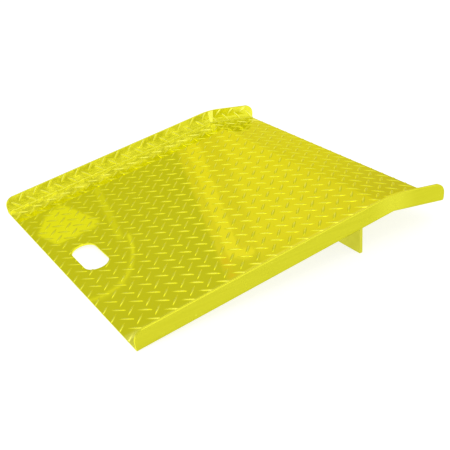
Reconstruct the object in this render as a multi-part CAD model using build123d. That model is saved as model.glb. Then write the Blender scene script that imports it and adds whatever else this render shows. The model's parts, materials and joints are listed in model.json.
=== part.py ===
from build123d import *
import os
from math import atan2, cos, degrees, radians, sin, tan

# Portable kerb ramp. One sheet of tread plate is folded up along both sides into
# low curbs and folded down near its top end into a lip that lies on the kerb.
# A leg bar is welded across its underside, and each curb is welded where the lip
# fold opened a notch in it.
#
# The ramp is drawn flat first: X runs from the low end to the high end, Y across,
# and Z up from the deck's underside. It is then tilted to stand on its low edge
# and on its leg. Lengths are millimetres and angles are degrees.

# ---- driving dimensions ----
WIDTH = 686.0             # over both curbs
DECK_LENGTH = 549.0       # low edge to the lip fold
LIP_LENGTH = 123.0        # lip fold to the high edge
LIP_FOLD = 15.5           # how far the lip is folded down from the deck
LIP_FOLD_RADIUS = 20.0    # inside the fold, on the underside
SHEET = 4.76

CURB_HEIGHT = 38.1        # from the underside to the curb's top
CURB_FOLD_RADIUS = 3.2    # inside the fold, on the deck side
CURB_CORNER = 22.0        # rounding of a curb's two upper corners
CURB_TRIM = 1.2           # how far a curb's ends are trimmed back at the top
CURB_CREST = 240.0        # rounding of a curb's top over the lip fold
CURB_EDGE = 0.8           # rounding along a curb's top edges

HAND_HOLE_LENGTH = 114.0
HAND_HOLE_WIDTH = 51.0
HAND_HOLE_X = 62.0        # its centre, from the low edge
HAND_HOLE_RIM = 0.8       # rounding of its rims

BEVEL_LENGTH = 38.0       # ground off under the low edge
BEVEL_RISE = 2.4

NOTCH_FLOOR = 3.0         # bottom of a curb's notch, above the deck's surface
WELD_PROUD = 0.8          # how far the notch's weld stands in from the curb

LEG_SHEET = 6.35
LEG_X = 473.8             # middle of the leg bar where it meets the underside
LEG_DEPTH = 51.0          # underside to the middle of the foot
LEG_LEAN = 9.7            # the foot leans towards the low end by this
LEG_INSET = 8.0           # each end of the bar, in from the curb's outer face

BEAD_LEG = 5.0            # side of a fillet weld
BEAD_LENGTH = 60.0
BEAD_COUNT = 5            # along each face of the leg bar

# ---- worked out from those ----
CURB_OUTER_RADIUS = CURB_FOLD_RADIUS + SHEET
FOLD_SETBACK = LIP_FOLD_RADIUS * tan(radians(LIP_FOLD / 2))
FOLD_START = DECK_LENGTH - FOLD_SETBACK
NOTCH_Z = SHEET + NOTCH_FLOOR
FOOT_X = LEG_X - LEG_DEPTH * tan(radians(LEG_LEAN))
STAND_ANGLE = degrees(atan2(LEG_DEPTH + BEVEL_RISE, FOOT_X))
CLEAR = 60.0              # how far cutting shapes run past the ramp


def lip_frame():
    """The lip's own frame: its origin on the sharp line of the fold's underside."""
    return Pos(DECK_LENGTH, 0, 0) * Rot(0, LIP_FOLD, 0)


def across(outline, width):
    """A prism of an outline in the XZ plane, centred on Y."""
    face = make_face(Polyline([(x, 0, z) for x, z in outline], close=True))
    return extrude(face, amount=width / 2, dir=(0, 1, 0), both=True)


def channel_section():
    """The sheet's section across the ramp, deck and both curbs, in the YZ plane."""
    outside = Pos(0, CURB_HEIGHT / 2) * Rectangle(WIDTH, CURB_HEIGHT)
    outside = fillet(outside.vertices().group_by(Axis.Y)[0], CURB_OUTER_RADIUS)
    inside = Pos(0, SHEET + CURB_HEIGHT / 2) * Rectangle(WIDTH - 2 * SHEET, CURB_HEIGHT)
    inside = fillet(inside.vertices().group_by(Axis.Y)[0], CURB_FOLD_RADIUS)
    section = outside - inside
    section = fillet(section.vertices().group_by(Axis.Y)[-1], CURB_EDGE)
    return Plane.YZ * section


def side_outline():
    """Everything inside the ramp's outline as seen from the side."""
    crest_x = DECK_LENGTH + CURB_HEIGHT * tan(radians(LIP_FOLD / 2))
    end_top = (lip_frame() * Pos(LIP_LENGTH - CURB_TRIM, 0, CURB_HEIGHT)).position
    end_foot = (lip_frame() * Pos(LIP_LENGTH, 0, SHEET)).position
    end_low = (lip_frame() * Pos(LIP_LENGTH, 0, -CLEAR)).position
    corners = [
        (0, -CLEAR),
        (0, SHEET),
        (CURB_TRIM, CURB_HEIGHT),
        (crest_x, CURB_HEIGHT),
        (end_top.X, end_top.Z),
        (end_foot.X, end_foot.Z),
        (end_low.X, end_low.Z),
    ]
    outline = across(corners, WIDTH + CLEAR)
    edges = outline.edges().filter_by(Axis.Y)
    low_corner = edges.sort_by_distance((CURB_TRIM, 0, CURB_HEIGHT))[0]
    crest = edges.sort_by_distance((crest_x, 0, CURB_HEIGHT))[0]
    high_corner = edges.sort_by_distance(end_top)[0]
    outline = fillet([low_corner, high_corner], CURB_CORNER)
    crest = outline.edges().filter_by(Axis.Y).sort_by_distance(crest.center())[0]
    return fillet(crest, CURB_CREST)


def folded(section):
    """A section swept round the lip fold."""
    axis = Axis((FOLD_START, 0, -LIP_FOLD_RADIUS), (0, 1, 0))
    return revolve(Pos(FOLD_START, 0, 0) * section, axis=axis, revolution_arc=LIP_FOLD)


def part_of_section(section, low, high):
    """The stretch of a section between two heights."""
    band = Pos(0, (low + high) / 2) * Rectangle(2 * WIDTH, high - low)
    return section & (Plane.YZ * band)


def hand_hole():
    """The cutter for the hand hole, an obround that lies across the deck."""
    slot = SlotOverall(HAND_HOLE_LENGTH, HAND_HOLE_WIDTH, rotation=90)
    return Pos(HAND_HOLE_X, 0, 0) * extrude(slot, amount=CLEAR, both=True)


def low_edge_bevel():
    """The cutter for the bevel ground under the low edge."""
    slope = BEVEL_RISE / BEVEL_LENGTH
    outline = [
        (-CLEAR, BEVEL_RISE + CLEAR * slope),
        (BEVEL_LENGTH, 0),
        (BEVEL_LENGTH, -CLEAR),
        (-CLEAR, -CLEAR),
    ]
    return across(outline, WIDTH + CLEAR)


def tread_plate():
    """The folded sheet: deck, curbs and lip, with the notches in the curbs open."""
    section = channel_section()
    deck = extrude(section, amount=FOLD_START, dir=(1, 0, 0))
    lip = extrude(section, amount=LIP_LENGTH - FOLD_SETBACK, dir=(1, 0, 0))
    lip = lip_frame() * Pos(FOLD_SETBACK, 0, 0) * lip
    fold = folded(part_of_section(section, -CLEAR, NOTCH_Z))
    plate = (deck + fold + lip) & side_outline()
    plate -= low_edge_bevel()
    plate -= hand_hole()
    return fillet(hole_rims(plate), HAND_HOLE_RIM)


def hole_rims(plate):
    """The edges round the hand hole, on both faces of the deck."""
    reach = HAND_HOLE_LENGTH / 2 + 1
    near = [e for e in plate.edges() if abs(e.center().Y) < reach]
    near = [e for e in near if abs(e.center().X - HAND_HOLE_X) < HAND_HOLE_WIDTH / 2 + 1]
    return ShapeList(e for e in near if e.bounding_box().size.Z < SHEET / 4)


def curb_weld(side):
    """The weld that fills one curb's notch; side is +1 or -1 along Y."""
    section = part_of_section(channel_section(), NOTCH_Z, CURB_HEIGHT)
    crown_height = CURB_HEIGHT - CURB_OUTER_RADIUS - CURB_EDGE
    crown = Pos(side * (WIDTH / 2 - SHEET - WELD_PROUD / 2), CURB_OUTER_RADIUS + crown_height / 2)
    crown = Plane.YZ * (crown * Rectangle(WELD_PROUD, crown_height))
    half = Plane.YZ * (Pos(side * WIDTH / 2, 0) * Rectangle(WIDTH / 2, 4 * CURB_HEIGHT))
    return folded((section & half) + crown) & side_outline()


def leg_bar():
    """The flat bar across the underside, its foot cut to lie on the floor."""
    lean = radians(LEG_LEAN)
    floor = tan(radians(STAND_ANGLE))
    half = LEG_SHEET / cos(lean) / 2
    outline = []
    for x in (LEG_X - half, LEG_X + half):
        reach = (x * floor - BEVEL_RISE) / (cos(lean) + sin(lean) * floor)
        outline.append([(x, 0), (x - reach * sin(lean), -reach * cos(lean))])
    front, rear = outline
    return across(front + rear[::-1], WIDTH - 2 * LEG_INSET)


def leg_welds(side):
    """A row of fillet welds along the leg bar; side is -1 in front and +1 behind."""
    lean = radians(LEG_LEAN)
    x = LEG_X + side * LEG_SHEET / cos(lean) / 2
    outline = [
        (x, 0),
        (x + side * BEAD_LEG, 0),
        (x - BEAD_LEG * sin(lean), -BEAD_LEG * cos(lean)),
    ]
    bead = across(outline, BEAD_LENGTH)
    run = WIDTH - 2 * LEG_INSET - BEAD_LENGTH
    pitch = run / (BEAD_COUNT - 1)
    return [Pos(0, -run / 2 + i * pitch, 0) * bead for i in range(BEAD_COUNT)]


def main():
    nodes = {
        "tread_plate": [tread_plate()],
        "right_curb_weld": [curb_weld(-1)],
        "left_curb_weld": [curb_weld(1)],
        "leg_bar": [leg_bar()],
        "leg_front_welds": leg_welds(-1),
        "leg_rear_welds": leg_welds(1),
    }
    tilt = Rot(0, -STAND_ANGLE, 0) * Pos(0, 0, -BEVEL_RISE)
    tilted = {name: [tilt * solid for solid in solids] for name, solids in nodes.items()}
    box = Compound([solid for solids in tilted.values() for solid in solids]).bounding_box()
    centred = Pos(-box.center().X, 0, -box.min.Z)

    os.makedirs("parts", exist_ok=True)
    for name, solids in tilted.items():
        placed = [centred * solid for solid in solids]
        whole = placed[0] if len(placed) == 1 else Compound(placed)
        export_step(whole, f"parts/{name}.step")


main()
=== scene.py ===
import json
from math import atan2, cos, pi, radians, sin, sqrt, tan

import bmesh
import bpy
import numpy as np
from mathutils import Matrix, Vector


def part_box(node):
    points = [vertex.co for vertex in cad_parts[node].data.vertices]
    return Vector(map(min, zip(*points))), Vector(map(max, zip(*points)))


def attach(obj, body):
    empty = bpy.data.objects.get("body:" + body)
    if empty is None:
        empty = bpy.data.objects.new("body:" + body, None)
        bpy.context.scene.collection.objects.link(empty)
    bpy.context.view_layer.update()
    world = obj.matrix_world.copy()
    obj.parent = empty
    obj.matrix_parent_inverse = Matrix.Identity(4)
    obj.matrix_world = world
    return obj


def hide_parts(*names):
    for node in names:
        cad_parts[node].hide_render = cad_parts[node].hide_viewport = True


# A portable kerb ramp: one folded sheet of tread plate with two low curbs, a lip and a
# hand hole, and a leg bar welded across its underside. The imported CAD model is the
# frame. This script adds the tread's raised lugs and the weld beads, gives every
# surface its finish, and sets up the floor, the lights and the camera.
# Lengths are metres.

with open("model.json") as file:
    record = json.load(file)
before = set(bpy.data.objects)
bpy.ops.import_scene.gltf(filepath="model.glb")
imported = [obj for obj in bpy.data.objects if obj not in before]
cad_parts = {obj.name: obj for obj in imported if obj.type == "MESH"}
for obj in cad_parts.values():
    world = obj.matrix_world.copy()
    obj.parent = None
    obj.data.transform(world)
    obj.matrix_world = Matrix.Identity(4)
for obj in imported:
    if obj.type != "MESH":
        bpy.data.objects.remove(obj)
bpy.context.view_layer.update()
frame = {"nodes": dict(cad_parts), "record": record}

# ---- the sheet, as the CAD model folds it ----
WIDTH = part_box("tread_plate")[1].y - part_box("tread_plate")[0].y
SHEET = 0.00476
DECK_LENGTH = 0.549            # low edge to the lip fold, on the underside
LIP_LENGTH = 0.123
LIP_FOLD = radians(15.5)
LIP_FOLD_RADIUS = 0.020
CURB_HEIGHT = 0.0381
CURB_FOLD_RADIUS = 0.0032
CURB_CORNER = 0.022
CURB_CREST = 0.240
CURB_EDGE = 0.0008
NOTCH_FLOOR = 0.003
HAND_HOLE_LENGTH = 0.114
HAND_HOLE_WIDTH = 0.051
HAND_HOLE_X = 0.062
BEVEL_LENGTH = 0.038
BEVEL_RISE = 0.0024

# ---- the tread's lugs ----
LUG_PITCH = 0.03531            # of the square grid that each set of lugs stands on
LUG_ALONG = 0.0246             # the first lug of the one set, from the low edge
LUG_ACROSS = -0.0026           # and from the middle line
LUG_LENGTH = 0.0310
LUG_WIDTH = 0.0062
LUG_HEIGHT = 0.0011
LUG_POINT = 0.6                # 0.5 is an ellipse in plan, and more is more pointed
LUG_CREST = 3                  # how flat a lug's crown stays, along it and across it
LUG_PRESSED = 0.010            # lugs nearer than this to a curb's fold are pressed flat by it
PRESSED_SHAPE = (0.9, 2.0, 0.8)   # such a lug's length, width and height, next to the others'
LUG_ROOT = 0.0003              # how far a lug's root is sunk into the sheet
LUG_MARGIN = 0.0003            # bare sheet left along every cut edge

# ---- the leg bar's welds ----
LEG_X = 0.4738                 # middle of the leg bar where it meets the underside
LEG_SHEET = 0.00635
LEG_LEAN = radians(9.7)        # the bar's foot leans towards the low end
LEG_INSET = 0.008
BEAD_COUNT = 5                 # along each face of the bar
BEAD_LENGTH = 0.060
BEAD_LEG = 0.005               # from the root to the bead's edge, on the plate and on the bar
BEAD_HOLLOW = 0.20             # how much nearer the root the middle of a bead's face is
BEAD_TAPER = 0.95              # the share of its section that a bead loses at its ends
BEAD_SUNK = 0.0003             # how far its root and its edges are sunk into the metal
BEAD_LAG = 0.0016              # how far the ripples bow along the bead
BEAD_SIDES = 12                # facets from the plate to the bar
RIPPLE_PITCH = 0.0024
RIPPLE_DEPTH = 0.00035
RIPPLE_STEPS = 6               # rings of points to a ripple

# ---- worked out from those ----
STRETCH = 0.45                 # where the folded sheet keeps its length, as a share of SHEET
CURB_RISE = CURB_HEIGHT - SHEET
HALF_FLAT = WIDTH / 2 - SHEET - CURB_FOLD_RADIUS
CURB_BEND = CURB_FOLD_RADIUS + STRETCH * SHEET
FOLD_MIDDLE = HALF_FLAT + CURB_BEND * pi / 4
LIP_BEND = LIP_FOLD_RADIUS + STRETCH * SHEET
FOLD_SETBACK = LIP_FOLD_RADIUS * tan(LIP_FOLD / 2)
FOLD_START = DECK_LENGTH - FOLD_SETBACK
FOLD_END = FOLD_START + LIP_BEND * LIP_FOLD
BLANK_LENGTH = FOLD_END + LIP_LENGTH - FOLD_SETBACK

# ---- where the sheet's finish changes ----
CREASE_START = 0.048           # in from a curb's fold: where folding began to mark the sheet
CREASE_FULL = 0.030            # and where it is marked all over
PRESS_START = 0.012            # in from a curb's fold: where the press began to dull the sheet
PRESS_FULL = 0.002             # and where it is dull all over
PRESS_TOP = (0.012, 0.005)     # up a curb, above the sheet: where that ends and is still full
LIP_FADE = (0.02, 0.01)        # before and past the lip fold: where the creases turn fainter
EDGE_BAND = (0.0014, 0.0006)   # below a curb's top: where the painted highlight along its top edge starts and is full
DRESSED = (0.055, 0.010)       # from a curb's weld: where its ground band starts and is full
FACE_SLACK = 0.00004           # allowed when a place is compared with a curb's inner face
WELD_RIPPLE = 0.00065          # depth of the ripples on the curbs' welds


def mount(name):
    """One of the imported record's mounts, as its point and its outward direction."""
    found = next(m for m in frame["record"]["mounts"] if m["name"] == name)
    return Vector(found["pos_m"]), Vector(found["axis"])


def deck_frame():
    """The matrix from the ramp's own frame, with the deck level, to the frame it stands in."""
    lip_normal = mount("lip_underside")[1]
    incline = LIP_FOLD - atan2(-lip_normal.x, -lip_normal.z)
    turn = Matrix.Rotation(-incline, 4, "Y")
    bevel_middle = Vector((BEVEL_LENGTH / 2, 0, BEVEL_RISE / 2))
    return Matrix.Translation(mount("low_edge_bevel")[0] - turn @ bevel_middle) @ turn


DECK = deck_frame()


# ---- from the flat sheet to the folded one ----
def folded(points):
    """Points on the flat sheet, moved to where folding the sheet takes them.

    Each point is (along from the low edge, across from the middle, height above the
    sheet's upper face), all measured before the sheet is folded.
    """
    along, across, height = np.asarray(points, float).T
    side = np.where(across < 0, -1.0, 1.0)
    past = np.abs(across) - HALF_FLAT
    quarter = CURB_BEND * pi / 2
    angle = np.clip(past / CURB_BEND, 0, pi / 2)
    y = np.where(past < 0, np.abs(across), HALF_FLAT + (CURB_FOLD_RADIUS - height) * np.sin(angle))
    rise = CURB_FOLD_RADIUS - (CURB_FOLD_RADIUS - height) * np.cos(angle)
    z = SHEET + rise + np.clip(past - quarter, 0, None)

    turned = np.clip((along - FOLD_START) / LIP_BEND, 0, LIP_FOLD)
    onward = np.clip(along - FOLD_END, 0, None)
    arm = z + LIP_FOLD_RADIUS
    x = np.minimum(along, FOLD_START) + arm * np.sin(turned) + onward * np.cos(turned)
    z = arm * np.cos(turned) - LIP_FOLD_RADIUS - onward * np.sin(turned)
    local = np.stack([x, side * y, z, np.ones_like(x)])
    return (np.array(DECK) @ local)[:3].T


def on_sheet(up_curb):
    """How far from the middle of the flat sheet a point lies that ends up_curb above the underside."""
    return HALF_FLAT + CURB_BEND * pi / 2 + up_curb - SHEET - CURB_FOLD_RADIUS


def arc(centre, radius, start, end, steps=8):
    """Points along an arc, its angles in radians."""
    angles = np.linspace(start, end, steps + 1)
    return [(centre[0] + radius * cos(a), centre[1] + radius * sin(a)) for a in angles]


def curb_outline():
    """The flat sheet's edge along one curb, from the low edge to the high one."""
    top = on_sheet(CURB_HEIGHT - CURB_EDGE)
    notch = on_sheet(SHEET + NOTCH_FLOOR)
    corner = CURB_CORNER - LUG_MARGIN
    low = arc((CURB_CORNER, top - corner), corner, pi, pi / 2)
    high = arc((BLANK_LENGTH - CURB_CORNER, top - corner), corner, pi / 2, 0)
    slack = LUG_MARGIN * 4
    dip = CURB_CREST * (1 - cos(LIP_FOLD / 3))   # how far the crest has dropped at the notch
    reach = CURB_CREST * tan(LIP_FOLD / 2)
    return [
        *low,
        (FOLD_START - reach, top),
        (FOLD_START - slack, top - dip),
        (FOLD_START - slack, notch),
        (FOLD_END + slack, notch),
        (FOLD_END + slack, top - dip),
        (FOLD_END + reach, top),
        *high,
    ]


def prism(name, outline, low, high):
    """A closed prism over an outline, between two heights."""
    count = len(outline)
    verts = [(x, y, z) for z in (low, high) for x, y in outline]
    sides = [(i, (i + 1) % count, (i + 1) % count + count, i + count) for i in range(count)]
    caps = [tuple(range(count))[::-1], tuple(range(count, 2 * count))]
    mesh = bpy.data.meshes.new(name)
    mesh.from_pydata(verts, [], sides + caps)
    return add_object(name, mesh)


def add_object(name, mesh):
    obj = bpy.data.objects.new(name, mesh)
    bpy.context.scene.collection.objects.link(obj)
    return obj


def carve(obj, cutter, operation):
    """Cuts obj with a closed cutter, which is then removed."""
    cut = obj.modifiers.new("cut", "BOOLEAN")
    cut.operation = operation
    cut.object = cutter
    cut.solver = "MANIFOLD"
    bpy.context.view_layer.update()
    depsgraph = bpy.context.evaluated_depsgraph_get()
    mesh = bpy.data.meshes.new_from_object(obj.evaluated_get(depsgraph))
    obj.modifiers.clear()
    obj.data = mesh
    bpy.data.objects.remove(cutter)


# ---- the lugs ----
def lug_shape(stations=14, strips=10):
    """One lug, lying along X: a lens in plan whose crown fades into the sheet all round.

    Returns its points and its faces. The last ring of points is its sunken root.
    """
    points, faces, rows = [], [], []
    for i in range(stations + 1):
        t = -cos(pi * i / stations)
        half = LUG_WIDTH / 2 * (1 - t * t) ** LUG_POINT
        crown = LUG_HEIGHT * (1 - abs(t) ** LUG_CREST)
        ends = i in (0, stations)
        row = []
        for j in range(1 if ends else strips + 1):
            s = 0 if ends else -cos(pi * j / strips)
            row.append(len(points))
            height = 0 if ends else crown * (1 - abs(s) ** LUG_CREST)
            points.append((LUG_LENGTH / 2 * t, half * s, height))
        rows.append(row)
    for low, high in zip(rows, rows[1:]):
        for j in range(strips):
            a, b = low[min(j, len(low) - 1)], low[min(j + 1, len(low) - 1)]
            c, d = high[min(j + 1, len(high) - 1)], high[min(j, len(high) - 1)]
            corners = [a, d, c, b]
            faces.append([p for k, p in enumerate(corners) if p not in corners[:k]])
    rim = [row[0] for row in rows] + [row[-1] for row in rows[-2:0:-1]]
    root = [len(points) + k for k in range(len(rim))]
    points += [(points[p][0], points[p][1], -LUG_ROOT) for p in rim]
    for k in range(len(rim)):
        n = (k + 1) % len(rim)
        faces.append([rim[k], root[k], root[n], rim[n]])
    faces.append(root[::-1])
    return np.array(points), faces


def lug_places(low, high, inner, outer):
    """Where the lugs in a stretch of the flat sheet stand, as (along, across, turn)."""
    places = []
    reach = LUG_LENGTH / 2
    columns = int(on_sheet(CURB_HEIGHT) / LUG_PITCH) + 2
    for half_step, turn in ((0, -pi / 4), (0.5, pi / 4)):
        for i in range(-1, int(BLANK_LENGTH / LUG_PITCH) + 2):
            along = LUG_ALONG + (i + half_step) * LUG_PITCH
            for j in range(-columns, columns + 1):
                across = LUG_ACROSS + (j + half_step) * LUG_PITCH
                if low - reach < along < high + reach and inner - reach < across < outer + reach:
                    places.append((along, across, turn))
    return places


def lugs(name, low, high, inner, outer):
    """The lugs on one stretch of the sheet, cut off at its edges and folded with it."""
    shape, shape_faces = lug_shape()
    points, faces = [], []
    for along, across, turn in lug_places(low, high, inner, outer):
        c, s = cos(turn), sin(turn)
        pressed = abs(abs(across) - FOLD_MIDDLE) < LUG_PRESSED
        lug = shape * PRESSED_SHAPE if pressed else shape
        placed = lug @ np.array([[c, s, 0], [-s, c, 0], [0, 0, 1]]) + (along, across, 0)
        faces += [[p + len(points) * len(shape) for p in face] for face in shape_faces]
        points.append(placed)
    mesh = bpy.data.meshes.new(name)
    mesh.from_pydata(np.concatenate(points), [], faces)
    obj = add_object(name, mesh)

    span = [(max(low, LUG_MARGIN), inner), (min(high, BLANK_LENGTH - LUG_MARGIN), inner),
            (min(high, BLANK_LENGTH - LUG_MARGIN), outer), (max(low, LUG_MARGIN), outer)]
    carve(obj, prism("stretch", span, -LUG_HEIGHT, 2 * LUG_HEIGHT), "INTERSECT")
    if outer > HALF_FLAT or inner < -HALF_FLAT:
        side = 1 if outer > HALF_FLAT else -1
        edge = [(x, side * y) for x, y in curb_outline()]
        edge = [(LUG_MARGIN, 0), *edge, (BLANK_LENGTH - LUG_MARGIN, 0)]
        carve(obj, prism("edge", edge[::-side], -LUG_HEIGHT, 2 * LUG_HEIGHT), "INTERSECT")
    elif low < HAND_HOLE_X:
        carve(obj, prism("hole", hand_hole(), -LUG_HEIGHT, 2 * LUG_HEIGHT), "DIFFERENCE")

    coords = np.empty(len(obj.data.vertices) * 3)
    obj.data.vertices.foreach_get("co", coords)
    flat = coords.reshape(-1, 3)
    lift = obj.data.attributes.new("lift", "FLOAT", "POINT")
    lift.data.foreach_set("value", np.clip(flat[:, 2] / LUG_HEIGHT, 0, 1).astype(np.float32))
    from_fold = np.abs(np.abs(flat[:, 1]) - FOLD_MIDDLE)
    pressed = obj.data.attributes.new("pressed", "FLOAT", "POINT")
    pressed.data.foreach_set("value", np.clip(1.5 - from_fold / LUG_PRESSED, 0, 1).astype(np.float32))
    obj.data.vertices.foreach_set("co", folded(flat).ravel())
    finish_mesh(obj, crease=radians(35))
    return obj


def hand_hole():
    """The hand hole's outline, an obround that lies across the deck."""
    radius = HAND_HOLE_WIDTH / 2 + CURB_EDGE
    reach = (HAND_HOLE_LENGTH - HAND_HOLE_WIDTH) / 2
    far_end = arc((HAND_HOLE_X, reach), radius, 0, pi, 24)
    near_end = arc((HAND_HOLE_X, -reach), radius, pi, 2 * pi, 24)
    return far_end + near_end


def finish_mesh(obj, crease):
    """Smooth shading, with edges sharper than the crease angle kept sharp."""
    obj.data.update()
    obj.data.shade_smooth()
    obj.data.set_sharp_from_angle(angle=crease)


def add_lugs():
    seam = HALF_FLAT - LUG_PITCH / 2
    pieces = [
        lugs("deck_lugs_low", 0, FOLD_START / 2, -seam, seam),
        lugs("deck_lugs_high", FOLD_START / 2, FOLD_START, -seam, seam),
        lugs("lip_lugs", FOLD_START, BLANK_LENGTH, -seam, seam),
        lugs("left_curb_lugs", 0, BLANK_LENGTH, seam, WIDTH),
        lugs("right_curb_lugs", 0, BLANK_LENGTH, -WIDTH, -seam),
    ]
    finish = lug_finish()
    for piece in pieces:
        piece.data.materials.clear()
        piece.data.materials.append(finish)
        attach(piece, "root")


# ---- the weld beads under the deck ----
def weld_bead(middle, side):
    """One stitch bead in the corner of the leg bar and the underside, as points and faces.

    It is a ring of points, swept along the corner and rippled where each drop of metal froze.
    """
    root = LEG_X + side * LEG_SHEET / cos(LEG_LEAN) / 2
    plate, bar = (0 if side > 0 else -pi), -pi / 2 - LEG_LEAN
    over = BEAD_SUNK / BEAD_LEG * (1 if plate > bar else -1)
    inward = Vector((cos((plate + bar) / 2), 0, sin((plate + bar) / 2))) * -BEAD_SUNK
    steps = round(BEAD_LENGTH / RIPPLE_PITCH * RIPPLE_STEPS)
    points, faces = [], []
    for i in range(steps + 1):
        place = BEAD_LENGTH * (i / steps - 0.5)
        past = max(0, abs(place) - BEAD_LENGTH / 2 + BEAD_LEG) / BEAD_LEG
        fullness = sqrt(1 - BEAD_TAPER * past ** 2)
        points.append((root + inward.x, middle + place, inward.z))
        for k in range(BEAD_SIDES + 1):
            t = k / BEAD_SIDES
            angle = plate + over + (bar - plate - 2 * over) * t
            bulge = sin(pi * t)
            ripple = abs(sin(pi * (place + BEAD_LAG * bulge) / RIPPLE_PITCH))
            face = BEAD_LEG * (1 - BEAD_HOLLOW * bulge) + RIPPLE_DEPTH * ripple * bulge
            reach = fullness * face
            points.append((root + reach * cos(angle), middle + place, reach * sin(angle)))
    ring = BEAD_SIDES + 2
    for i in range(steps):
        for k in range(ring):
            a, b = i * ring + k, i * ring + (k + 1) % ring
            faces.append([a, b, b + ring, a + ring])
    faces.append(list(range(ring)))
    faces.append([steps * ring + k for k in range(ring)])
    return points, faces


def add_leg_welds(name, side, node):
    """A row of stitch beads along one face of the leg bar, in place of the CAD's plain ones."""
    run = WIDTH - 2 * LEG_INSET - BEAD_LENGTH
    points, faces = [], []
    for i in range(BEAD_COUNT):
        bead_points, bead_faces = weld_bead(-run / 2 + i * run / (BEAD_COUNT - 1), side)
        faces += [[p + len(points) for p in face] for face in bead_faces]
        points += [DECK @ Vector(p) for p in bead_points]
    mesh = bpy.data.meshes.new(name)
    mesh.from_pydata(points, [], faces)
    work = bmesh.new()
    work.from_mesh(mesh)
    bmesh.ops.recalc_face_normals(work, faces=work.faces)
    work.to_mesh(mesh)
    work.free()
    piece = add_object(name, mesh)
    finish_mesh(piece, crease=radians(60))
    piece.data.materials.append(bpy.data.materials["coated_weld"])
    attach(piece, "root")
    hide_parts(node)


# ---- materials ----
class Finish:
    """A material and the nodes behind its shader, all placed by where they are on the object."""

    def __init__(self, name):
        self.material = bpy.data.materials.new(name)
        self.material.use_nodes = True
        self.tree = self.material.node_tree
        self.shader = self.tree.nodes["Principled BSDF"]
        self.place = self.add("ShaderNodeTexCoord").outputs["Object"]
        self.normal = self.add("ShaderNodeNewGeometry").outputs["Normal"]

    def add(self, kind, inputs=(), **settings):
        """A node with some of its inputs set or linked, by name or by number."""
        node = self.tree.nodes.new(kind)
        for key, value in settings.items():
            setattr(node, key, value)
        for key, value in dict(inputs).items():
            if isinstance(value, bpy.types.NodeSocket):
                self.tree.links.new(value, node.inputs[key])
            else:
                node.inputs[key].default_value = value
        return node

    def math(self, operation, *values):
        return self.add("ShaderNodeMath", enumerate(values), operation=operation).outputs[0]

    def ramp(self, value, low, high, from_value=0.0, to_value=1.0):
        """value between low and high, stretched to run between two other values."""
        ends = {"From Min": low, "From Max": high, "To Min": from_value, "To Max": to_value}
        return self.add("ShaderNodeMapRange", {"Value": value, **ends}).outputs[0]

    def axes(self, vector):
        return self.add("ShaderNodeSeparateXYZ", {"Vector": vector}).outputs

    def stretched(self, x, y, z):
        """Places on the object, with each axis scaled, for a pattern that runs one way."""
        return self.add("ShaderNodeMapping", {"Vector": self.place, "Scale": (x, y, z)}).outputs[0]

    def noise(self, size, detail=3, place=None):
        """Soft noise from 0 to 1 whose lumps are about size across."""
        inputs = {"Vector": place or self.place, "Scale": 1 / size, "Detail": detail}
        return self.add("ShaderNodeTexNoise", inputs).outputs[0]

    def mix(self, share, first, second):
        """Two numbers mixed by a share from 0 to 1."""
        inputs = {"Factor": share, "A": first, "B": second}
        return self.add("ShaderNodeMix", inputs).outputs["Result"]

    def blend(self, share, first, second):
        """Two colours mixed by a share from 0 to 1."""
        node = self.add("ShaderNodeMix", data_type="RGBA")
        ends = [s for s in node.inputs if s.type == "RGBA"]
        for socket, value in zip([node.inputs["Factor"], *ends], (share, first, second)):
            if isinstance(value, bpy.types.NodeSocket):
                self.tree.links.new(value, socket)
            else:
                socket.default_value = value
        return next(s for s in node.outputs if s.type == "RGBA")

    def bump(self, height, depth, under=None):
        """A bump whose full height is depth metres, on top of another one."""
        inputs = {"Height": height, "Distance": depth}
        if under:
            inputs["Normal"] = under
        return self.add("ShaderNodeBump", inputs).outputs[0]

    def shade(self, **values):
        """Sets or links the shader's own inputs."""
        for key, value in values.items():
            socket = self.shader.inputs[key.replace("_", " ")]
            if isinstance(value, bpy.types.NodeSocket):
                self.tree.links.new(value, socket)
            else:
                socket.default_value = value
        return self.material


# The coat's colour over each kind of surface.
YELLOW = (0.81, 0.79, 0.020, 1)             # bright plate
DEEP_YELLOW = (0.79, 0.77, 0.017, 1)        # the same, where the coat is thicker
THIN_YELLOW = (0.86, 0.85, 0.090, 1)        # lugs' crowns and specks, where it is thin
CUT_FACE_AND_EDGE_HIGHLIGHT_YELLOW = (0.88, 0.87, 0.040, 1)         # sheared edges, and the painted highlight along each curb's top edge
MILL_YELLOW = (0.625, 0.615, 0.026, 1)      # the mill finish
STREAK_YELLOW = (0.600, 0.590, 0.023, 1)    # and its streaks
CREASED_YELLOW = (0.76, 0.75, 0.060, 1)     # sheet that was creased by folding
PRESSED_YELLOW = (0.85, 0.84, 0.055, 1)     # sheet that was pressed, along a fold
WELD_YELLOW = (1.0, 0.98, 0.14, 1)          # pale spots on creased sheet, its lugs, and welds
BEAD_YELLOW = (1.0, 1.0, 0.10, 1)           # brighter spots on welds
BUFFED_YELLOW = (0.69, 0.68, 0.036, 1)      # ground metal
BAR_YELLOW = (0.68, 0.67, 0.060, 1)         # the leg bar
DULL_YELLOW = (0.64, 0.63, 0.050, 1)        # and its duller patches
COAT = {"Specular_Tint": (0.92, 0.92, 0.45, 1), "Sheen_Weight": 0.01, "Sheen_Roughness": 0.5}


def above_sheet(f):
    """The height of a place above the upper face of the deck or the lip, whichever it is over."""
    heights = []
    for fold in (0, LIP_FOLD):
        up = DECK.to_3x3() @ Vector((sin(fold), 0, cos(fold)))
        start = DECK @ Vector((DECK_LENGTH, 0, 0))
        level = f.add("ShaderNodeVectorMath", {0: f.place, 1: up}, operation="DOT_PRODUCT")
        heights.append(f.math("SUBTRACT", level.outputs["Value"], start.dot(up) + SHEET))
    return f.math("MAXIMUM", *heights)


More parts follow.
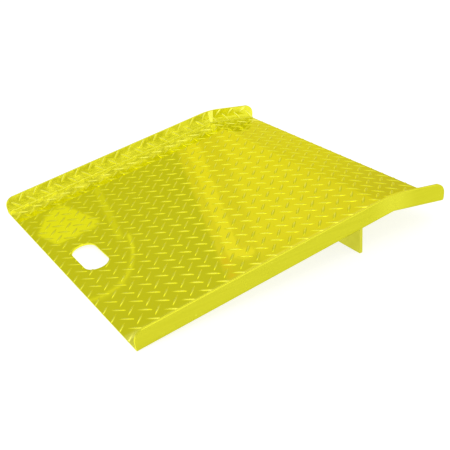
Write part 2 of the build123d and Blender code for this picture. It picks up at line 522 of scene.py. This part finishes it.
def creasing(f):
    """How much folding the curbs has creased the sheet, by how far out it is."""
    from_middle = f.math("ABSOLUTE", f.axes(f.place)[1])
    return f.ramp(from_middle, HALF_FLAT - CREASE_START, HALF_FLAT - CREASE_FULL)


def mill_faces(f):
    """Where the plate has its mill finish: a curb's outer face, and that or the underside."""
    y = f.axes(f.place)[1]
    ny, nz = f.axes(f.normal)[1:]
    outside = f.math("GREATER_THAN", f.math("ABSOLUTE", y), WIDTH / 2 - SHEET / 2)
    outward = f.math("MULTIPLY", ny, f.math("SIGN", y))
    outer_face = f.math("MULTIPLY", f.ramp(outward, 0.3, 0.6), outside)
    return outer_face, f.math("MAXIMUM", f.ramp(nz, -0.2, -0.5), outer_face)


def on_curb(f):
    """Where a curb stands, and nothing of its fold."""
    from_middle = f.math("ABSOLUTE", f.axes(f.place)[1])
    return f.math("GREATER_THAN", from_middle, WIDTH / 2 - SHEET - FACE_SLACK)


def cut_faces(f):
    """Where the plate was sheared: the curbs' tops, its two ends and the hand hole's wall."""
    from_middle = f.math("ABSOLUTE", f.axes(f.place)[1])
    normal = f.axes(f.normal)
    curb_top = f.math("MULTIPLY", f.ramp(normal["Z"], 0.25, 0.6), on_curb(f))
    inboard = f.ramp(from_middle, HALF_FLAT, HALF_FLAT - CURB_FOLD_RADIUS)
    sheared = f.math("MULTIPLY", f.ramp(f.math("ABSOLUTE", normal["Z"]), 0.6, 0.3), inboard)
    end_face = f.math("MAXIMUM", sheared, f.ramp(f.math("ABSOLUTE", normal["X"]), 0.6, 0.9))
    return f.math("MAXIMUM", curb_top, end_face)


def painted_edge_highlight(f):
    """Where a band of painted highlight runs along a curb's top edge, just below its top."""
    below_top = f.math("SUBTRACT", CURB_RISE, above_sheet(f))
    return f.math("MULTIPLY", f.ramp(below_top, *EDGE_BAND), on_curb(f))


def pressing(f):
    """How much the press has dulled the sheet beside a curb's fold."""
    from_middle = f.math("ABSOLUTE", f.axes(f.place)[1])
    along_fold = f.ramp(from_middle, HALF_FLAT - PRESS_START, HALF_FLAT - PRESS_FULL)
    return f.math("MULTIPLY", along_fold, f.ramp(above_sheet(f), *PRESS_TOP))


def tread_finish():
    """Bright tread plate under a clear yellow coat: mirror-like above, satin below and outside."""
    f = Finish("coated_tread")
    x = f.axes(f.place)[0]
    lip_x = (DECK @ Vector((FOLD_START, 0, 0))).x
    cut = cut_faces(f)
    outer_face, mill_side = mill_faces(f)
    upper = f.math("SUBTRACT", 1.0, mill_side)
    creased = f.math("MULTIPLY", creasing(f), upper)
    pressed = f.math("MULTIPLY", pressing(f), upper)
    fade = f.ramp(x, lip_x - LIP_FADE[0], lip_x + LIP_FADE[1], 1.0, 0.3)
    bent = f.math("MULTIPLY", creased, fade)
    from_weld = f.math("ABSOLUTE", f.math("SUBTRACT", x, lip_x))
    dressed = f.math("MULTIPLY", outer_face, f.ramp(from_weld, *DRESSED))

    cloud = f.noise(0.11)
    mottle = f.noise(0.010, 4)
    dents = f.noise(0.018, 1)
    grain = f.noise(0.004, 2, f.stretched(0.05, 1, 1))
    specks = f.ramp(f.noise(0.004, 1), 0.76, 0.82)

    colour = f.blend(f.ramp(cloud, 0.35, 0.7), YELLOW, DEEP_YELLOW)
    uneven = f.blend(f.ramp(f.noise(0.030, 2), 0.42, 0.60), CREASED_YELLOW, WELD_YELLOW)
    colour = f.blend(bent, colour, uneven)
    colour = f.blend(pressed, colour, PRESSED_YELLOW)
    drawn = f.blend(f.ramp(grain, 0.35, 0.65), MILL_YELLOW, STREAK_YELLOW)
    colour = f.blend(mill_side, colour, drawn)
    colour = f.blend(dressed, colour, BUFFED_YELLOW)
    colour = f.blend(f.math("MULTIPLY", specks, mill_side), colour, THIN_YELLOW)
    # sheared faces get their own colour; the band just below each curb's top edge is a painted
    # highlight
    colour = f.blend(f.math("MAXIMUM", cut, painted_edge_highlight(f)), colour, CUT_FACE_AND_EDGE_HIGHLIGHT_YELLOW)

    rough = f.ramp(mottle, 0.3, 0.75, 0.02, 0.045)
    rough = f.mix(creased, rough, f.ramp(mottle, 0.35, 0.65, 0.06, 0.20))
    rough = f.mix(mill_side, rough, f.ramp(cloud, 0.3, 0.7, 0.24, 0.32))
    rough = f.mix(pressed, rough, 0.36)
    rough = f.mix(cut, rough, 0.30)

    wave = f.bump(cloud, 0.00007)
    wave = f.bump(f.noise(0.028, 2), 0.000008, wave)
    wave = f.bump(f.math("MULTIPLY", dents, creased), 0.00035, wave)
    wave = f.bump(f.math("MULTIPLY", dents, pressed), 0.0015, wave)
    wave = f.bump(f.math("MULTIPLY", grain, mill_side), 0.000015, wave)
    metal = f.mix(cut, f.mix(bent, 1.0, 0.74), 0.95)
    return f.shade(Metallic=metal, Base_Color=colour, Roughness=rough, Normal=wave, **COAT)


def lug_finish():
    """The lugs have the plate's coat, a little thinner on their crowns, and dull where pressed."""
    f = Finish("coated_lugs")
    bent = creasing(f)
    lift = f.add("ShaderNodeAttribute", attribute_name="lift").outputs["Fac"]
    pressed = f.add("ShaderNodeAttribute", attribute_name="pressed").outputs["Fac"]
    mottle = f.noise(0.004, 3)
    crown = f.math("MULTIPLY", f.ramp(lift, 0.55, 0.95), f.ramp(mottle, 0.3, 0.6))
    colour = f.blend(crown, YELLOW, THIN_YELLOW)
    colour = f.blend(bent, colour, WELD_YELLOW)
    rough = f.mix(bent, f.ramp(mottle, 0.3, 0.7, 0.07, 0.14), f.ramp(mottle, 0.3, 0.7, 0.14, 0.22))
    rough = f.mix(pressed, rough, 0.30)
    metal = f.mix(bent, 1.0, 0.85)
    return f.shade(Metallic=metal, Base_Color=colour, Roughness=rough, **COAT)


def weld_finish():
    """Weld metal under the same coat.

    A curb's weld is ground flush outside and rippled inside. Those under the deck are dull.
    """
    f = Finish("coated_weld")
    y, z = f.axes(f.place)[1:]
    ny, nz = f.axes(f.normal)[1:]
    from_middle = f.math("ABSOLUTE", y)
    at_curb = f.math("GREATER_THAN", from_middle, HALF_FLAT)
    outside = f.math("GREATER_THAN", from_middle, WIDTH / 2 - SHEET / 2)
    ground = f.math("MULTIPLY", f.ramp(f.math("ABSOLUTE", ny), 0.3, 0.6), outside)
    top = f.math("MULTIPLY", f.ramp(nz, 0.5, 0.8), at_curb)
    inside = f.math("SUBTRACT", at_curb, f.math("MAXIMUM", ground, top))

    patch = f.noise(0.012, 3)
    ripple = f.math("FRACT", f.math("DIVIDE", z, -RIPPLE_PITCH))
    colour = f.blend(f.ramp(patch, 0.3, 0.7), WELD_YELLOW, BEAD_YELLOW)
    colour = f.blend(ground, colour, BUFFED_YELLOW)
    colour = f.blend(top, colour, CUT_FACE_AND_EDGE_HIGHLIGHT_YELLOW)
    rough = f.mix(inside, f.ramp(f.noise(0.004, 2), 0.3, 0.7, 0.28, 0.40), 0.18)
    wave = f.bump(f.math("MULTIPLY", patch, f.math("SUBTRACT", 1.0, ground)), 0.0003)
    wave = f.bump(f.math("MULTIPLY", ripple, inside), WELD_RIPPLE, wave)
    metal = f.mix(at_curb, 0.2, 1.0)
    return f.shade(Metallic=metal, Base_Color=colour, Roughness=rough, Normal=wave, **COAT)


def bar_finish():
    """Mill-finish flat bar, drawn along its length, with saw marks on its ends."""
    f = Finish("coated_bar")
    ny = f.axes(f.normal)[1]
    end = f.ramp(f.math("ABSOLUTE", ny), 0.6, 0.9)
    drawn = f.noise(0.003, 3, f.stretched(1, 0.03, 1))
    sawn = f.noise(0.002, 2, f.stretched(0.05, 1, 1))
    mottle = f.noise(0.030, 2)
    colour = f.blend(f.ramp(mottle, 0.3, 0.7), BAR_YELLOW, DULL_YELLOW)
    rough = f.math("ADD", f.ramp(mottle, 0.3, 0.7, 0.26, 0.34), f.math("MULTIPLY", end, 0.12))
    wave = f.bump(f.mix(end, drawn, sawn), 0.000012)
    return f.shade(Metallic=0.9, Base_Color=colour, Roughness=rough, Normal=wave, **COAT)


# ---- the room ----
FLOOR_REACH = 20
FLOOR_DROP = 0.0002            # the floor lies this far under the ramp
FLOOR_GREY = (0.35, 0.35, 0.35, 1)
FLOOR_GLOW = 0.78
ROOM_GLOW = 0.67


def add_floor():
    """A plain white floor, lit from within so that it stays white under soft light."""
    mesh = bpy.data.meshes.new("floor")
    corners = [(-1, -1), (1, -1), (1, 1), (-1, 1)]
    mesh.from_pydata([(FLOOR_REACH * x, FLOOR_REACH * y, 0) for x, y in corners], [], [(0, 1, 2, 3)])
    floor = add_object("floor", mesh)
    floor.location.z = -FLOOR_DROP
    material = bpy.data.materials.new("floor")
    material.use_nodes = True
    shader = material.node_tree.nodes["Principled BSDF"]
    shader.inputs["Base Color"].default_value = FLOOR_GREY
    shader.inputs["Emission Color"].default_value = (1, 1, 1, 1)
    shader.inputs["Emission Strength"].default_value = FLOOR_GLOW
    shader.inputs["Roughness"].default_value = 0.9
    clear_from_below(material, shader)
    floor.data.materials.append(material)


def clear_from_below(material, shader):
    """Lets a camera under the floor see the ramp's underside."""
    tree = material.node_tree
    below = tree.nodes.new("ShaderNodeNewGeometry").outputs["Backfacing"]
    clear = tree.nodes.new("ShaderNodeBsdfTransparent")
    mix = tree.nodes.new("ShaderNodeMixShader")
    tree.links.new(below, mix.inputs["Fac"])
    tree.links.new(shader.outputs[0], mix.inputs[1])
    tree.links.new(clear.outputs[0], mix.inputs[2])
    tree.links.new(mix.outputs[0], tree.nodes["Material Output"].inputs["Surface"])


def add_backdrop():
    """A pale wall all round, out past the lights, which only the camera sees."""
    steps, radius, low, high = 48, 15, -15, 25
    ring = arc((0, 0), radius, 0, 2 * pi * (1 - 1 / steps), steps - 1)
    mesh = bpy.data.meshes.new("backdrop")
    verts = [(x, y, z) for z in (low, high) for x, y in ring]
    sides = [(i, (i + 1) % steps, (i + 1) % steps + steps, i + steps) for i in range(steps)]
    ends = [tuple(range(steps)), tuple(range(steps, 2 * steps))]
    mesh.from_pydata(verts, [], sides + ends)
    solid = mesh.attributes.new("solid", "FLOAT", "POINT")
    solid.data.foreach_set("value", [1.0] * len(verts))
    mesh.materials.append(glow("backdrop", 1.0, (1, 1, 1)))
    backdrop = add_object("backdrop", mesh)
    backdrop.visible_diffuse = backdrop.visible_glossy = False
    backdrop.visible_transmission = backdrop.visible_shadow = False


CAMERA_PLACE = (-0.68865, -1.36474, 0.74901)
CAMERA_HEADING = radians(27.927)   # from +Y towards +X
CAMERA_DIP = radians(26.858)       # below level
CAMERA_ROLL = radians(-7.187)
CAMERA_LENS = 64.25
SENSOR_WIDTH = 36


def add_camera():
    """The camera, at the product picture's angle."""
    data = bpy.data.cameras.new("camera")
    data.lens = CAMERA_LENS
    data.sensor_width = SENSOR_WIDTH
    camera = bpy.data.objects.new("camera", data)
    bpy.context.scene.collection.objects.link(camera)
    heading = Matrix.Rotation(-CAMERA_HEADING, 4, "Z")
    dip = Matrix.Rotation(pi / 2 - CAMERA_DIP, 4, "X")
    roll = Matrix.Rotation(CAMERA_ROLL, 4, "Z")
    camera.matrix_world = Matrix.Translation(CAMERA_PLACE) @ heading @ dip @ roll
    bpy.context.scene.camera = camera


# The studio, as the bright plate mirrors it: flats that stand on two upright planes and one
# overhead. A place on an upright one is (sideways from its middle, height above the floor).
BACK_DISTANCE = 3.2
BACK_HEADING = radians(62)
FRONT_DISTANCE = 3.2
CEILING_HEIGHT = 5.0
WARM = (1.0, 0.92, 1.2)
AMBER = (1.0, 0.92, 0.5)
PINK = (1.0, 0.78, 0.9)


def back_wall():
    """From the plane of the flats that the deck and the lip mirror, to the ramp's frame."""
    turn = Matrix.Rotation(BACK_HEADING - pi / 2, 4, "Z") @ Matrix.Rotation(pi / 2, 4, "X")
    far = Vector((cos(BACK_HEADING), sin(BACK_HEADING), 0)) * BACK_DISTANCE
    return Matrix.Translation(far) @ turn


def front_wall():
    """The same for the plane behind the camera, which the left-hand curb mirrors."""
    return Matrix.Translation((0, -FRONT_DISTANCE, 0)) @ Matrix.Rotation(pi / 2, 4, "X")


def ceiling():
    """The same for the plane overhead, which the lugs' near flanks mirror."""
    return Matrix.Translation((0, 0, CEILING_HEIGHT))


def glow(name, strength, colour):
    """Plain light, which fades out where the mesh's "solid" attribute falls to 0."""
    material = bpy.data.materials.new(name)
    material.use_nodes = True
    tree = material.node_tree
    tree.nodes.clear()
    light = tree.nodes.new("ShaderNodeEmission")
    light.inputs["Color"].default_value = (*colour, 1)
    light.inputs["Strength"].default_value = strength
    clear = tree.nodes.new("ShaderNodeBsdfTransparent")
    solid = tree.nodes.new("ShaderNodeAttribute")
    solid.attribute_name = "solid"
    mix = tree.nodes.new("ShaderNodeMixShader")
    output = tree.nodes.new("ShaderNodeOutputMaterial")
    tree.links.new(solid.outputs["Fac"], mix.inputs["Fac"])
    tree.links.new(clear.outputs[0], mix.inputs[1])
    tree.links.new(light.outputs[0], mix.inputs[2])
    tree.links.new(mix.outputs[0], output.inputs["Surface"])
    return material


def flat(name, shape, strength, nearer=0.0, colour=(1, 1, 1), wall=back_wall):
    """One lit flat of the studio, solid inside its core and fading out to its rim.

    Only reflections and light see it. Its shape is two outlines with as many points each.
    """
    rim, core = shape
    count = len(rim)
    mesh = bpy.data.meshes.new(name)
    ring = [(i, (i + 1) % count, (i + 1) % count + count, i + count) for i in range(count)]
    middle = tuple(range(count, 2 * count))
    mesh.from_pydata([(x, y, nearer) for x, y in rim + core], [], [*ring, middle])
    solid = mesh.attributes.new("solid", "FLOAT", "POINT")
    solid.data.foreach_set("value", [0.0] * count + [1.0] * count)
    mesh.materials.append(glow(name, strength, colour))
    obj = add_object(name, mesh)
    obj.matrix_world = wall()
    obj.visible_camera = False
    obj.visible_shadow = False


def block(left, right, low, high, soft=0.02, soft_ends=None, soft_right=None):
    """A rectangle whose edges fade over a width of soft. Its ends and its right side may differ."""
    def grown(by):
        wide, tall = by * soft / 2, by * (soft_ends or soft) / 2
        wider = by * (soft_right or soft) / 2
        return [(left - wide, low - tall), (right + wider, low - tall),
                (right + wider, high + tall), (left - wide, high + tall)]
    return grown(1), grown(-1)


def disc(centre, radius, soft, count=24):
    """An ellipse, its radius given both ways, whose edge fades over a width of soft."""
    def grown(by):
        wide, tall = radius[0] + by, radius[1] + by
        angles = [2 * pi * i / count for i in range(count)]
        return [(centre[0] + wide * cos(a), centre[1] + tall * sin(a)) for a in angles]
    return grown(soft / 2), grown(-soft / 2)


def bow(centre, radius, width, start, end):
    """A soft band along an arc, brightest along its middle."""
    middle = arc(centre, radius, start, end, 16)
    outer = arc(centre, radius + width / 2, start, end, 16)
    inner = arc(centre, radius - width / 2, end, start, 16)
    return outer + inner, middle + middle[::-1]


def dish():
    """A lamp's dish seen from the side, whose core is its rim shrunk towards its middle."""
    rim = [(-1.60, 1.78), (-1.48, 1.65), (-1.35, 1.60), (-1.28, 1.65),
           (-1.14, 1.82), (-1.20, 1.86), (-1.50, 1.90)]
    x, y = -1.36, 1.76
    shrink = 0.9
    return rim, [(x + (u - x) * shrink, y + (v - y) * shrink) for u, v in rim]


def add_studio():
    # what the deck and the lip mirror: the dark part, the lip's part and the bright part
    flat("low_flat", block(-0.2, 5.5, 0.1, 1.2, 0.1), 0.72, -0.01, WARM)
    flat("lip_flat", block(-0.2, 1.15, 0.1, 1.15, 0.2, 0.2, 0.5), 0.88, 0.0, AMBER)
    flat("low_left", block(-0.55, 0.30, 0.1, 1.0, 0.2), 1.2, 0.01)
    flat("light_flat", block(-0.49, 1.5, 1.0, 2.5, 0.03, 0.3), 0.87, 0.01, WARM)
    flat("bright_flat", block(-0.20, 0.35, 1.1, 2.45, 0.05, 0.4, 0.5), 0.965, 0.02, WARM)
    flat("post", block(-0.425, -0.335, 1.2, 2.42, 0.02), 1.01, 0.03, WARM)

    # the lamps that show on the deck
    flat("lamp_dish", dish(), 0.97, 0.02)
    flat("umbrella", bow((-1.45, 1.98), 0.44, 0.042, 0, radians(100)), 0.98, 0.02)
    flat("lamp_head", disc((-0.30, 2.40), (0.07, 0.045), 0.02), 1.03, 0.04, WARM)
    for place in ((-0.45, 2.43), (-0.44, 2.57)):
        flat("lamp_glow", disc(place, (0.03, 0.05), 0.05), 0.88, 0.04, PINK)
    flat("lamp_stand", block(-1.10, -1.05, 1.5, 2.0), 0.80, 0.02)

    # what the left-hand curb mirrors, from the floor up
    flat("front_low", block(-3.0, 4.0, 0.0, 0.8, 0.2), 1.2, wall=front_wall)
    flat("front_dim", block(-3.0, 2.2, 0.8, 1.6, 0.2), 0.84, wall=front_wall)
    flat("front_flat", block(-3.0, 4.0, 1.6, 2.7, 0.2), 0.95, wall=front_wall)
    flat("front_high", block(-1.0, 4.0, 4.2, 7.5, 0.5), 1.1, wall=front_wall)

    flat("ceiling", block(-4.0, 4.0, -2.4, 4.0, 0.8), 1.04, wall=ceiling)


def add_light():
    world = bpy.data.worlds.new("studio")
    bpy.context.scene.world = world
    world.use_nodes = True
    background = world.node_tree.nodes["Background"]
    background.inputs["Color"].default_value = (1, 1, 1, 1)
    background.inputs["Strength"].default_value = ROOM_GLOW
    overhead("key", (-0.9, -1.5, 2.9), 1.6, 10)
    overhead("hair_light", (0.37, 2.62, 3.5), 1.1, 3)


def overhead(name, place, size, power):
    """A small square soft lamp, turned to the ramp."""
    data = bpy.data.lights.new(name, "AREA")
    data.shape = "RECTANGLE"
    data.size = data.size_y = size
    data.energy = power
    lamp = bpy.data.objects.new(name, data)
    bpy.context.scene.collection.objects.link(lamp)
    lamp.location = place
    lamp.rotation_mode = "QUATERNION"
    lamp.rotation_quaternion = lamp.location.to_track_quat("Z", "Y")


def add_finishes():
    """Gives the CAD's own nodes their finishes."""
    finishes = {
        "tread_plate": tread_finish(),
        "leg_bar": bar_finish(),
    }
    weld = weld_finish()
    for name, node in frame["nodes"].items():
        node.data.materials.clear()
        node.data.materials.append(finishes.get(name, weld))


add_finishes()
add_lugs()
add_leg_welds("front_weld_beads", -1, "leg_front_welds")
add_leg_welds("rear_weld_beads", 1, "leg_rear_welds")
add_floor()
add_backdrop()
add_studio()
add_light()
add_camera()
bpy.context.scene.view_settings.view_transform = "Standard"
